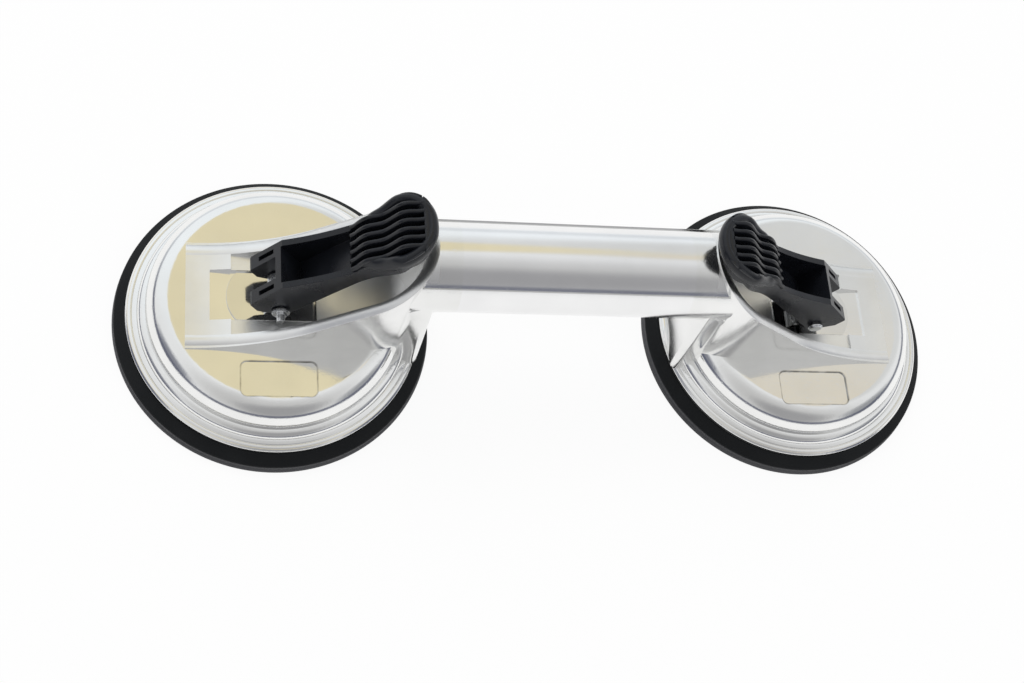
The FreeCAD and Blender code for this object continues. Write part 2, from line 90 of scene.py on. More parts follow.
def object_point(tree, stretch=(1, 1, 1)):
    """The surface point in the part's frame, in metres, stretched along the axes."""
    place = add_node(tree, "ShaderNodeTexCoord")
    return add_node(tree, "ShaderNodeMapping", inputs={
        "Vector": place.outputs["Object"], "Scale": stretch}).outputs["Vector"]


def split(tree, vector):
    """A vector's X, Y and Z."""
    return add_node(tree, "ShaderNodeSeparateXYZ", inputs={"Vector": vector}).outputs


def noise(tree, point, scale, detail):
    """A seamless noise from 0 to 1 with so many waves per metre."""
    return add_node(tree, "ShaderNodeTexNoise", inputs={
        "Vector": point, "Scale": scale, "Detail": detail, "Roughness": 0.55}).outputs["Fac"]


def remap(tree, value, low, high, to_low, to_high):
    """A value brought from one range to another, and kept inside the second."""
    return add_node(tree, "ShaderNodeMapRange", inputs={
        "Value": value, "From Min": low, "From Max": high,
        "To Min": to_low, "To Max": to_high}).outputs["Result"]


def math_node(tree, operation, first, second=0.0):
    """An operation on two values, or on the first alone."""
    return add_node(tree, "ShaderNodeMath", {"operation": operation},
                    {0: first, 1: second}).outputs["Value"]


def hypotenuse(tree, first, second):
    """The length of a step that goes by two values at right angles."""
    return math_node(tree, "SQRT", math_node(
        tree, "ADD", math_node(tree, "MULTIPLY", first, first),
        math_node(tree, "MULTIPLY", second, second)))


def blend_colours(tree, factor, first, second):
    """The first colour at a factor of 0 and the second at 1; each is a colour or a socket."""
    node = add_node(tree, "ShaderNodeMix", {"data_type": "RGBA"}, {"Factor": factor})
    for slot, colour in ((6, first), (7, second)):  # the node's two colour inputs
        if isinstance(colour, bpy.types.NodeSocket):
            tree.links.new(colour, node.inputs[slot])
        else:
            node.inputs[slot].default_value = (*colour, 1)
    return node.outputs[2]


def bump(tree, height, distance, under=None):
    """The normal of a height scaled to a distance, laid on the bump under it if there is one."""
    inputs = {"Height": height, "Distance": distance, "Strength": 1.0}
    if under is not None:
        inputs["Normal"] = under
    return add_node(tree, "ShaderNodeBump", inputs=inputs).outputs["Normal"]


# ---- finishes ----
# Where the hood's nose ends and the handle's stub starts, from the middle of the part, and over
# what length and what slopes (as the normal's Z) the hood's satin fades in.
HOOD_NOSE, SATIN_FADE, SATIN_SLOPES = 52.4 * MM, 0.2 * MM, (0.6, 0.75)


def cast_metal(name, light, dark, polish, wave_height, pit_height, streak=(1, 1, 1), satin=0.0):
    """Polished casting: a slow waviness, fine pits and rubbing marks that dull it in places.
    Satin is how much rougher a hood's upward faces are, which were not buffed."""
    material, tree, shader = new_material(name)
    point = object_point(tree)
    rubbed = noise(tree, object_point(tree, streak), 90, 5)
    cloud = noise(tree, point, 38, 4)
    pits = noise(tree, point, 900, 2)
    colour = blend_colours(tree, remap(tree, cloud, 0.35, 0.7, 0, 1), light, dark)
    tree.links.new(colour, shader.inputs["Base Color"])
    dulled = math_node(tree, "ADD", remap(tree, rubbed, 0.3, 0.75, polish, polish + 0.09),
                       remap(tree, pits, 0.62, 0.75, 0, 0.08))
    if satin:
        facing = add_node(tree, "ShaderNodeNewGeometry").outputs["True Normal"]
        upward = remap(tree, split(tree, facing)["Z"], *SATIN_SLOPES, 0, 1)
        from_middle = math_node(tree, "ABSOLUTE", split(tree, point)["X"])
        on_hood = remap(tree, from_middle, HOOD_NOSE - SATIN_FADE, HOOD_NOSE, 0, satin)
        dulled = math_node(tree, "ADD", dulled, math_node(tree, "MULTIPLY", upward, on_hood))
    tree.links.new(dulled, shader.inputs["Roughness"])
    slow = bump(tree, noise(tree, point, 55, 2), wave_height)
    fine = bump(tree, remap(tree, pits, 0.55, 0.8, 0, -1), pit_height, slow)
    tree.links.new(fine, shader.inputs["Normal"])
    shader.inputs["Metallic"].default_value = 1.0
    return material


def sheet_metal(name, light, dark, polish):
    """Rolled sheet: fine marks that run along the plate."""
    material, tree, shader = new_material(name)
    marks = noise(tree, object_point(tree, (0.12, 1, 1)), 1400, 3)
    cloud = noise(tree, object_point(tree), 70, 3)
    tree.links.new(blend_colours(tree, cloud, light, dark), shader.inputs["Base Color"])
    tree.links.new(remap(tree, cloud, 0.3, 0.7, polish, polish + 0.06), shader.inputs["Roughness"])
    tree.links.new(bump(tree, marks, 0.004 * MM), shader.inputs["Normal"])
    shader.inputs["Metallic"].default_value = 1.0
    return material


def moulding(name, dark, light, low_rough, high_rough, grain, grain_height, specular):
    """Moulded plastic or rubber: a fine grain, and a bloom that greys it in patches."""
    material, tree, shader = new_material(name)
    point = object_point(tree)
    cloud = noise(tree, point, 60, 4)
    speckle = noise(tree, point, grain, 2)
    bloom = math_node(tree, "MULTIPLY", remap(tree, cloud, 0.4, 0.75, 0, 1),
                      remap(tree, speckle, 0.3, 0.7, 0.5, 1))
    tree.links.new(blend_colours(tree, bloom, dark, light), shader.inputs["Base Color"])
    tree.links.new(remap(tree, cloud, 0.3, 0.7, low_rough, high_rough), shader.inputs["Roughness"])
    tree.links.new(bump(tree, speckle, grain_height), shader.inputs["Normal"])
    shader.inputs["Specular IOR Level"].default_value = specular
    return material


CASTING = cast_metal("polished_casting", (0.90, 0.90, 0.89), (0.84, 0.84, 0.83), 0.07,
                     0.020 * MM, 0.012 * MM)
HOOD = cast_metal("polished_hood", (0.90, 0.90, 0.89), (0.82, 0.82, 0.81), 0.12,
                  0.020 * MM, 0.016 * MM, satin=0.2)
TUBE = cast_metal("polished_tube", (0.90, 0.90, 0.90), (0.85, 0.85, 0.85), 0.12,
                  0.015 * MM, 0.006 * MM, streak=(0.05, 1, 1))
WEAR_PLATE = sheet_metal("bright_sheet", (0.86, 0.86, 0.85), (0.78, 0.78, 0.77), 0.06)
ZINC = cast_metal("zinc_plated", (0.72, 0.73, 0.74), (0.58, 0.59, 0.60), 0.2,
                  0.004 * MM, 0.004 * MM)
LEVER = moulding("lever_plastic", (0.008, 0.009, 0.012), (0.016, 0.018, 0.024), 0.22, 0.34, 2600,
                 0.005 * MM, specular=0.34)
RUBBER = moulding("pad_rubber", (0.008, 0.009, 0.010), (0.014, 0.015, 0.016), 0.55, 0.7, 1500,
                  0.012 * MM, specular=0.15)


# ---- marks that lie at one place ----
# The sunk panel on each dish: its middle along Y, half its length and width, and its corners.
PANEL_MIDDLE, PANEL_HALF, PANEL_CORNER = -32.6 * MM, (14.0 * MM, 6.9 * MM), 2.5 * MM
# The colour of the shade painted along the edge of each dish's sunk panel.
PANEL_SHADE = (0.22, 0.21, 0.19)

# The lip of the hood, from its middle plane, or from the axis of its round nose.
NOSE_AXIS, LIP_INNER, LIP_OUTER = 72.7 * MM, 16.4 * MM, 20.5 * MM

# The pad's thin lip: where it begins and is full, and how high, how softly and in what grey
# the light from the floor is painted on it.
PAD_LIP_START, PAD_LIP_END = 54.0 * MM, 56.5 * MM
PAINTED_LIGHT_HEIGHT, PAINTED_LIGHT_SOFT, PAINTED_LIGHT_GREY = 3.6 * MM, 0.4 * MM, (0.085, 0.085, 0.09)


def cup_point(tree):
    """The surface point's X, Y and Z, with X from its cup's middle."""
    parts = split(tree, object_point(tree))
    across = math_node(tree, "SUBTRACT", math_node(tree, "ABSOLUTE", parts["X"]), CUP_REACH)
    return across, parts["Y"], parts["Z"]


def paint_over(material, share, colour):
    """Blends a colour over a material's own by a share."""
    shader = material.node_tree.nodes["Principled BSDF"]
    clean = shader.inputs["Base Color"].links[0].from_socket
    material.node_tree.links.new(blend_colours(material.node_tree, share, clean, colour),
                                 shader.inputs["Base Color"])


def paint_shade_on_panel_edge(material, width):
    """Paints shade as a dark line in the crease at the edge of each dish's sunk panel."""
    tree = material.node_tree
    across, y, _ = cup_point(tree)
    along = math_node(tree, "SUBTRACT", y, PANEL_MIDDLE)
    past = [math_node(tree, "MAXIMUM", math_node(
        tree, "SUBTRACT", math_node(tree, "ABSOLUTE", value), half - PANEL_CORNER))
        for value, half in ((across, PANEL_HALF[0]), (along, PANEL_HALF[1]))]
    reach = hypotenuse(tree, *past)
    from_edge = math_node(tree, "ABSOLUTE", math_node(tree, "SUBTRACT", reach, PANEL_CORNER))
    wander = remap(tree, noise(tree, object_point(tree), 300, 3), 0.3, 0.7, 0.3, 1.0)
    line = math_node(tree, "MULTIPLY", remap(tree, from_edge, width, 0.3 * width, 0, 0.75), wander)
    # The painted shade is laid over the dish's own colour along the panel's edge.
    paint_over(material, line, PANEL_SHADE)


def round_the_lip(material, fall):
    """Buffing has rounded the top of the hood's wall, most of all towards its outer edge."""
    tree = material.node_tree
    shader = tree.nodes["Principled BSDF"]
    under = shader.inputs["Normal"].links[0].from_socket
    parts = split(tree, object_point(tree))
    from_middle = math_node(tree, "ABSOLUTE", parts["X"])
    past_axis = math_node(tree, "MINIMUM", math_node(tree, "SUBTRACT", from_middle, NOSE_AXIS))
    out = hypotenuse(tree, past_axis, parts["Y"])
    across = remap(tree, out, LIP_INNER, LIP_OUTER, -0.5, 1)
    drop = math_node(tree, "MULTIPLY", math_node(tree, "MULTIPLY", across, across), -1)
    tree.links.new(bump(tree, drop, fall, under), shader.inputs["Normal"])


def paint_light_on_pad_lip(material):
    """Paints the light from the floor on the pad's thin lip as a lighter grey; the rest of the pad
    is black.
    """
    tree = material.node_tree
    across, y, z = cup_point(tree)
    wander = remap(tree, noise(tree, object_point(tree), 150, 3), 0, 1, -PAINTED_LIGHT_SOFT, PAINTED_LIGHT_SOFT)
    above = math_node(tree, "ADD", z, wander)
    out = math_node(tree, "ADD", hypotenuse(tree, across, y), wander)
    low = remap(tree, above, PAINTED_LIGHT_HEIGHT - PAINTED_LIGHT_SOFT, PAINTED_LIGHT_HEIGHT + PAINTED_LIGHT_SOFT, 1, 0)
    fade = math_node(tree, "MULTIPLY", low, remap(tree, out, PAD_LIP_START, PAD_LIP_END, 0, 1))
    # The painted light is laid over the rubber's own colour on the lip's lower, outer side.
    paint_over(material, fade, PAINTED_LIGHT_GREY)


paint_shade_on_panel_edge(CASTING, 0.45 * MM)
round_the_lip(HOOD, 0.8 * MM)
paint_light_on_pad_lip(RUBBER)

FINISHES = {"handle": TUBE}
for side in SIDES:
    FINISHES.update({
        "dish_" + side: CASTING, "hood_" + side: HOOD, "wear_plate_" + side: WEAR_PLATE,
        "cam_lever_" + side: LEVER, "pull_stud_" + side: ZINC, "pivot_pin_" + side: ZINC,
        "pin_washer_" + side: ZINC, "insert_plate_" + side: ZINC, "return_spring_" + side: ZINC,
        "pad_" + side: RUBBER})
for name, material in FINISHES.items():
    for place in NODES[name].material_slots:
        place.material = material


# ---- rounded edges on the carried-over pieces ----
# Each kind of node's bevel, in millimetres, and how many segments it has.
EASED = {"hood_": (0.7, 3), "dish_": (0.3, 2), "cam_lever_": (0.5, 3), "wear_plate_": (0.12, 1),
         "pull_stud_": (0.2, 1), "pivot_pin_": (0.15, 1)}
WELD_GAP, FLAT_ANGLE, SHARP_ANGLE, FLAT_WEIGHT = 0.002 * MM, 0.4, 30, 80


def ease(name, width, segments):
    """Joins the node's faces, clears the flat ones of needless edges and rounds its sharp edges."""
    modifiers = NODES[name].modifiers
    weld = modifiers.new("weld", "WELD")
    weld.merge_threshold = WELD_GAP
    flatten = modifiers.new("flatten", "DECIMATE")
    flatten.decimate_type = "DISSOLVE"
    flatten.angle_limit = math.radians(FLAT_ANGLE)
    edges = modifiers.new("eased_edges", "BEVEL")
    edges.width = width
    edges.segments = segments
    edges.limit_method = "ANGLE"
    edges.angle_limit = math.radians(SHARP_ANGLE)
    edges.miter_outer = "MITER_ARC"
    edges.use_clamp_overlap = True
    normals = modifiers.new("flat_faces_stay_flat", "WEIGHTED_NORMAL")
    normals.weight = FLAT_WEIGHT


for side in SIDES:
    for kind, (width, segments) in EASED.items():
        ease(kind + side, width * MM, segments)


# ---- mesh builders ----
def footprint(box):
    """The middle of a node's box, brought down to the floor, and half its width."""
    low, high = box
    return Vector(((low.x + high.x) / 2, (low.y + high.y) / 2, 0)), (high.x - low.x) / 2


def join_rings(built, rings, around=False):
    """Faces from ring to ring, and over both ends unless the rings go all the way around."""
    for first, second in zip(rings, rings[1:] + rings[:1] if around else rings[1:]):
        for index in range(len(first)):
            after = (index + 1) % len(first)
            built.faces.new((first[index], second[index], second[after], first[after]))
    if not around:
        built.faces.new(rings[0])
        built.faces.new(rings[-1])


def new_piece(name, built, sharp=None):
    """The object of a bmesh, shaded smooth but for edges of so many degrees, or all flat."""
    bmesh.ops.recalc_face_normals(built, faces=built.faces)
    mesh = bpy.data.meshes.new(name)
    built.to_mesh(mesh)
    built.free()
    if sharp:
        for face in mesh.polygons:
            face.use_smooth = True
        mesh.set_sharp_from_angle(angle=math.radians(sharp))
    piece = bpy.data.objects.new(name, mesh)
    bpy.context.scene.collection.objects.link(piece)
    return piece


# How much of the side between two corners a rounding may take, so that two never meet.
ROUNDING_SHARE = 0.49


def rounded(corners, steps=5):
    """A profile of (radius, height, rounding) corners with an arc put in at each rounding."""
    points = []
    for index, (x, z, size) in enumerate(corners):
        here = Vector((x, z))
        if not size:
            points.append(here)
            continue
        before = Vector(corners[index - 1][:2]) - here
        after = Vector(corners[(index + 1) % len(corners)][:2]) - here
        reach = min(size, ROUNDING_SHARE * before.length, ROUNDING_SHARE * after.length)
        start, end = here + before.normalized() * reach, here + after.normalized() * reach
        for step in range(steps + 1):
            t = step / steps
            points.append(start * (1 - t) ** 2 + here * 2 * t * (1 - t) + end * t ** 2)
    return points


def lathe(name, corners, centre, turns=160):
    """A closed solid of revolution about the vertical through centre."""
    profile = rounded(corners)
    built = bmesh.new()
    rings = []
    for step in range(turns):
        angle = 2 * math.pi * step / turns
        rings.append([built.verts.new((
            centre.x + point.x * math.cos(angle), centre.y + point.x * math.sin(angle),
            centre.z + point.y)) for point in profile])
    join_rings(built, rings, around=True)
    bmesh.ops.remove_doubles(built, verts=built.verts, dist=1e-7)
    return new_piece(name, built, sharp=40)


def ellipse(half_width, half_height, degrees):
    """The corners of an ellipse's outline at a range of degrees."""
    return [(half_width * math.cos(math.radians(angle)),
             half_height * math.sin(math.radians(angle))) for angle in degrees]


# How large the section of a tapered bar is at its ends.
TAPER_FROM = 0.35


def sweep(name, path, section, place, taper=0):
    """A closed bar along a path, in axes that place brings to the part's frame. The section is
    (side, up) about the path, and is smaller over the first and last taper points."""
    built = bmesh.new()
    rings = []
    for index, point in enumerate(path):
        ahead = path[min(index + 1, len(path) - 1)] - path[max(index - 1, 0)]
        across = ahead.cross(Vector((0, 0, 1))).normalized()
        lift = across.cross(ahead).normalized()
        near_end = min(index, len(path) - 1 - index)
        full = min(1.0, TAPER_FROM + (1 - TAPER_FROM) * near_end / taper) if taper else 1.0
        rings.append([built.verts.new(place @ (point + (across * a + lift * b) * full))
                      for a, b in section])
    join_rings(built, rings)
    return new_piece(name, built, sharp=50)


# ---- rubber pads ----
# The flat land round the hollow, how high the hollow is, and the pinhole left on the axis.
PAD_LAND, PAD_HOLLOW, PINHOLE = 14 * MM, 1.0 * MM, 0.2 * MM
GROOVE_DEPTH, GROOVE_STEP, GROOVES = 0.5 * MM, 3.2 * MM, 3
# The pad's top under its insert plate, the top of the wall round that, and the gap to the dish.
PLATE_SEAT, PLATE_WALL, FLANGE_CLEAR = 5.7 * MM, 8.2 * MM, 0.25 * MM


def make_pad(side):
    """The moulded pad: a dished underside with sealing rings, a thin lip and a rounded shoulder."""
    centre, outer = footprint(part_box("pad_" + side))
    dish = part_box("dish_" + side)
    flange, seat = footprint(dish)[1], dish[0].z - FLANGE_CLEAR
    plate = footprint(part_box("insert_plate_" + side))[1]
    land = outer - PAD_LAND
    corners = [(PINHOLE, PAD_HOLLOW, 0), (land, 0.0, 2 * MM)]
    for ring in range(GROOVES):
        start = land + 1.6 * MM + ring * GROOVE_STEP
        corners += [
            (start, 0.0, 0.2 * MM), (start + 0.4 * MM, GROOVE_DEPTH, 0.3 * MM),
            (start + 1.2 * MM, GROOVE_DEPTH, 0.3 * MM), (start + 1.6 * MM, 0.0, 0.2 * MM)]
    corners += [
        (outer, 0.0, 0.3 * MM), (outer - 0.1 * MM, 1.3 * MM, 0.5 * MM),
        (outer - 0.7 * MM, 1.9 * MM, 0.5 * MM), (outer - 0.45 * MM, 4.2 * MM, 1.0 * MM),
        (flange + 0.7 * MM, seat - 0.5 * MM, 0.8 * MM), (flange + 0.2 * MM, seat, 0.2 * MM),
        (flange - 8 * MM, seat, 1 * MM), (plate + 9 * MM, PLATE_SEAT, 2 * MM),
        (plate + 2.8 * MM, PLATE_SEAT, 0.3 * MM), (plate + 2.8 * MM, PLATE_WALL, 0.8 * MM),
        (plate + 0.4 * MM, PLATE_WALL, 0.5 * MM), (plate + 0.4 * MM, PLATE_SEAT, 0.3 * MM),
        (PINHOLE, PLATE_SEAT, 0)]
    pad = lathe("rubber_pad_" + side, corners, centre)
    pad.data.materials.append(RUBBER)
    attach(pad, "frame")
    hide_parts("pad_" + side)


# ---- the dish's rolled flange ----
# How far the flange's top is above its foot.
FLANGE_TOP = 2.6 * MM


def make_flange_bead(side):
    """Two soft rolls with a fine line between them, turned on top of the dish's flange."""
    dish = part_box("dish_" + side)
    centre, rim = footprint(dish)
    foot = dish[0].z + FLANGE_TOP
    corners = [
        (rim - 4.6 * MM, foot - 0.2 * MM, 0), (rim + 0.1 * MM, foot - 1.4 * MM, 0.1 * MM),
        (rim + 0.1 * MM, foot - 0.7 * MM, 0.6 * MM), (rim - 0.9 * MM, foot + 0.15 * MM, 0.9 * MM),
        (rim - 1.9 * MM, foot + 0.4 * MM, 0.4 * MM), (rim - 2.15 * MM, foot + 0.05 * MM, 0.1 * MM),
        (rim - 2.4 * MM, foot + 0.35 * MM, 0.3 * MM), (rim - 3.6 * MM, foot + 0.8 * MM, 0.9 * MM),
        (rim - 4.6 * MM, foot + 0.95 * MM, 0)]
    bead = lathe("flange_bead_" + side, corners, centre, 200)
    bead.data.materials.append(CASTING)
    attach(bead, "frame")


# ---- retaining clip on each pin's tail ----
CLIP_INNER, CLIP_OUTER, CLIP_THICKNESS, CLIP_CLEAR = 1.62 * MM, 3.1 * MM, 0.5 * MM, 0.02 * MM
CLIP_GAP, CLIP_LOBE, CLIP_STEPS = math.radians(70), 0.45 * MM, 40


def make_clip(side):
    """An open spring-steel ring that snaps on the tail of the pivot pin, outside the washer."""
    pin_low, pin_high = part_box("pivot_pin_" + side)
    washer_low, washer_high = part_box("pin_washer_" + side)
    centre_x, centre_z = (pin_low.x + pin_high.x) / 2, (washer_low.z + washer_high.z) / 2
    outward = -1 if (washer_low.y + washer_high.y) < 0 else 1
    face = washer_low.y if outward < 0 else washer_high.y
    built = bmesh.new()
    rows = []
    for step in range(CLIP_STEPS + 1):
        angle = CLIP_GAP / 2 + (2 * math.pi - CLIP_GAP) * step / CLIP_STEPS
        inner = CLIP_INNER + CLIP_LOBE * max(0.0, math.cos(3 * angle)) ** 3
        rows.append([built.verts.new((
            centre_x + radius * math.cos(angle), face + outward * depth,
            centre_z + radius * math.sin(angle)))
            for radius, depth in (
                (inner, CLIP_CLEAR), (CLIP_OUTER, CLIP_CLEAR),
                (CLIP_OUTER, CLIP_CLEAR + CLIP_THICKNESS), (inner, CLIP_CLEAR + CLIP_THICKNESS))])
    join_rings(built, rows)
    clip = new_piece("pin_clip_" + side, built)
    rounding = clip.modifiers.new("rounding", "BEVEL")
    rounding.width = 0.1 * MM
    rounding.segments = 2
    clip.data.materials.append(ZINC)
    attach(clip, "stud_" + side)


for side in SIDES:
    make_pad(side)
    make_flange_bead(side)
    make_clip(side)


# ---- lever grips, in the lever's own axes: X to the grip's tip, Z out of the trough ----
FULL_SWING = max(joint["range_deg"][1] for joint in frame["joints"] if "range_deg" in joint)
RIBS, RIB_PITCH, RIB_WIDTH, RIB_DEPTH, RIB_SUNK = 6, 3.3 * MM, 1.7 * MM, 2.4 * MM, 0.4 * MM
RIB_START, RIB_END, RIB_STEPS = 25.4 * MM, 50.2 * MM, 44
WAVE_CREST, WAVE_LENGTH, WAVE_HEIGHT, WAVE_FADE = 29.5 * MM, 13.0 * MM, 2.0 * MM, 3 * MM
RIM_START, RIM_TURN, RIM_STEPS, RIM_TURN_STEPS = 28.0 * MM, 42.5 * MM, 20, 32
RIM_HALF_WIDTH, RIM_HALF_HEIGHT = 2.3 * MM, 3.2 * MM
RIM_PROUD, RIM_RISE, RIM_WAVE = 0.75 * MM, 0.5 * MM, 0.45
# The rim follows the side of the grip this far under its top, and its nose at these heights.
RIM_UNDER, RIM_LEVELS = 1.5 * MM, (43.8 * MM, 44.4 * MM, 46.0 * MM)
# Rays start this far out, and the plain top is followed this far past the ribs.
FAR, TOP_RUN = 90 * MM, 0.4 * MM


def lever_matrix(side):
    """From the lever's own axes to the part's frame."""
    joint = JOINTS["lever_swing_" + side]
    ajar = math.radians(FULL_SWING - joint["range_deg"][1])
    turned = Matrix.Rotation(0 if side == "left" else math.pi, 4, "Z")
    return Matrix.Translation(joint["pos_m"]) @ turned @ Matrix.Rotation(-ajar, 4, "Y")


def lever_probe(side):
    """A function of a ray's start and heading, both in the lever's axes."""
    place = lever_matrix(side)
    back, spin = place.inverted(), place.to_3x3()
    mesh = NODES["cam_lever_" + side].data
    tree = BVHTree.FromPolygons([vertex.co for vertex in mesh.vertices],
                                [face.vertices[:] for face in mesh.polygons])

    def strike(start, heading):
        """Where the ray first meets the lever, or None."""
        hit = tree.ray_cast(place @ Vector(start), spin @ Vector(heading))[0]
        return None if hit is None else back @ hit

    return strike


def top_at(strike, reach):
    """The height of the lever's plain top, beside its grooves."""
    return strike((min(reach, RIB_END + TOP_RUN), RIB_PITCH / 2, FAR), (0, 0, -1)).z


def wave(reach, height):
    """How far the grip's waves stand above its plain top, at a reach from the pivot."""
    fade = min(1.0, max(0.0, (RIB_END - reach) / WAVE_FADE))
    return fade * height * 0.5 * (1 + math.cos(2 * math.pi * (reach - WAVE_CREST) / WAVE_LENGTH))


def make_ribs(side):
    """The waved finger ribs, laid on the lever's own top."""
    strike = lever_probe(side)
    half = RIB_WIDTH / 2
    section = ellipse(half, half, range(0, 181, 20)) + [(-half, -RIB_DEPTH), (half, -RIB_DEPTH)]
    for number in range(RIBS):
        y = (number - (RIBS - 1) / 2) * RIB_PITCH
        path = []
        for step in range(RIB_STEPS + 1):
            x = RIB_START + (RIB_END - RIB_START) * step / RIB_STEPS
            path.append(Vector((x, y, top_at(strike, x) + wave(x, WAVE_HEIGHT) - RIB_SUNK)))
        rib = sweep("grip_rib_%s_%d" % (side, number + 1), path, section, lever_matrix(side))
        rib.data.materials.append(LEVER)
        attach(rib, "lever_" + side)


def rim_side(strike, hand):
    """The rim's path along one side of the grip, from the trough to the turn of the nose."""
    run = []
    for step in range(RIM_STEPS):
        x = RIM_START + (RIM_TURN - RIM_START) * step / RIM_STEPS
        edge = strike((x, hand * FAR, top_at(strike, x) - RIM_UNDER), (0, -hand, 0))
        height = (top_at(strike, x) + wave(x, WAVE_HEIGHT * RIM_WAVE)
                  - RIM_HALF_HEIGHT + RIM_RISE)
        run.append(Vector((x, edge.y - hand * (RIM_HALF_WIDTH - RIM_PROUD), height)))
    return run


def rim_nose(strike):
    """The rim's path round the grip's nose."""
    run = []
    centre = Vector((RIM_TURN, 0, 0))
    for step in range(RIM_TURN_STEPS + 1):
        angle = math.radians(-90 + 180 * step / RIM_TURN_STEPS)
        ray = Vector((math.cos(angle), math.sin(angle), 0))
        edges = [strike(centre + ray * FAR + Vector((0, 0, height)), -ray)
                 for height in RIM_LEVELS]
        reach = max((edge - centre).xy.length for edge in edges if edge is not None)
        middle = centre + ray * (reach - RIM_HALF_WIDTH + RIM_PROUD)
        middle.z = top_at(strike, middle.x) - RIM_HALF_HEIGHT + RIM_RISE
        run.append(middle)
    return run


def make_rim(side):
    """The rolled rim of the spoon, up one side, round the nose and down the other side."""
    strike = lever_probe(side)
    path = rim_side(strike, -1) + rim_nose(strike) + rim_side(strike, 1)[::-1]
    oval = ellipse(RIM_HALF_WIDTH, RIM_HALF_HEIGHT, range(0, 360, 20))
    rim = sweep("grip_rim_" + side, path, oval, lever_matrix(side), taper=8)
    smooth = rim.modifiers.new("even_out", "SMOOTH")
    smooth.factor = 0.5
    smooth.iterations = 6
    rim.data.materials.append(LEVER)
    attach(rim, "lever_" + side)


# ---- return springs ----
SPRING_WIRE, SPRING_TURNS, TURN_STEPS = 1.6 * MM, 3.5, 32


def make_spring(side):
    """The coil of round wire over the plate, which the rising stud presses against the dish."""
    low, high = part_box("return_spring_" + side)
    radius = (high.y - low.y - SPRING_WIRE) / 2
    climb = high.z - low.z - SPRING_WIRE
    steps = round(SPRING_TURNS * TURN_STEPS)
    path = []
    for step in range(steps + 1):
        angle = 2 * math.pi * step / TURN_STEPS
        path.append(Vector((radius * math.cos(angle), radius * math.sin(angle),
                            low.z + SPRING_WIRE / 2 + climb * step / steps)))
    wire = ellipse(SPRING_WIRE / 2, SPRING_WIRE / 2, range(0, 360, 30))
    middle = (low + high) / 2
    spring = sweep("coil_spring_" + side, path, wire, Matrix.Translation((middle.x, middle.y, 0)))
    spring.data.materials.append(ZINC)
    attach(spring, "frame")
    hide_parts("return_spring_" + side)
    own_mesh(spring)


for side in SIDES:
    make_ribs(side)
    make_rim(side)
    make_spring(side)


# ---- the handle's sides ----
# A cheek laps from just under the handle's middle up to its ledge, as angles in degrees.
LAP_ANGLE, LEDGE_ANGLE, CHEEK_STEPS, CHEEK_LENGTHS = -4.5, 32.93, 16, 4
# Where the stubs' cheeks end, from the part's middle, how deep a cheek is seated, and how far it
# stands over the round.
STUB_END, SEATED, SKIN = 61.2 * MM, 0.9 * MM, 0.03 * MM


def round_the_side(name, hand, start, end, material):
    """Fills the flat over the handle's middle, on the side where Y has hand's sign."""
    low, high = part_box("handle")
    radius = (high.y - low.y) / 2
    corners = [(radius + SKIN, LAP_ANGLE + (LEDGE_ANGLE - LAP_ANGLE) * step / CHEEK_STEPS)
               for step in range(CHEEK_STEPS + 1)]
    corners += [(radius - SEATED, LEDGE_ANGLE - 2), (radius - SEATED, LAP_ANGLE + 2)]
    section = [(-hand * reach * math.cos(math.radians(angle)),
                reach * math.sin(math.radians(angle))) for reach, angle in corners]
    path = [Vector((start + (end - start) * step / CHEEK_LENGTHS, 0, 0))
            for step in range(CHEEK_LENGTHS + 1)]
    cheek = sweep(name, path, section, Matrix.Translation((0, 0, low.z + radius)))
    cheek.data.materials.append(material)
    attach(cheek, "frame")


left_end, right_end = (corner.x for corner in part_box("handle"))
round_the_side("handle_cheek", 1, left_end, right_end, TUBE)
round_the_side("stub_cheek_left", 1, -STUB_END, left_end, HOOD)
round_the_side("stub_cheek_right", -1, right_end, STUB_END, HOOD)


# ---- floor ----
# Half the floor's width, how far it lies under the part, and how much of it is plain white light.
FLOOR_REACH, FLOOR_DROP, FLOOR_GLOW = 4.0, 0.05 * MM, 0.92


def make_floor():
    """A white floor that shows as the white background and keeps a faint shadow."""
    mesh = bpy.data.meshes.new("floor")
    mesh.from_pydata([(x * FLOOR_REACH, y * FLOOR_REACH, -FLOOR_DROP)
                      for x, y in ((-1, -1), (1, -1), (1, 1), (-1, 1))], [], [(0, 1, 2, 3)])
    floor = bpy.data.objects.new("floor", mesh)
    bpy.context.scene.collection.objects.link(floor)
    material, tree, shader = new_material("white_floor")
    shader.inputs["Base Color"].default_value = (0.9, 0.9, 0.9, 1)
    shader.inputs["Roughness"].default_value = 0.9
    glow = add_node(tree, "ShaderNodeEmission", inputs={"Color": (1, 1, 1, 1), "Strength": 1.0})
    path = add_node(tree, "ShaderNodeLightPath")
    seen = math_node(tree, "MAXIMUM", path.outputs["Is Camera Ray"], path.outputs["Is Glossy Ray"])
    seen = math_node(tree, "MAXIMUM", seen, path.outputs["Is Transmission Ray"])
    share = math_node(tree, "MULTIPLY", seen, FLOOR_GLOW)
    mixed = add_node(tree, "ShaderNodeMixShader", inputs={
        0: share, 1: shader.outputs["BSDF"], 2: glow.outputs["Emission"]})
    tree.links.new(mixed.outputs["Shader"], tree.nodes["Material Output"].inputs["Surface"])
    mesh.materials.append(material)


make_floor()


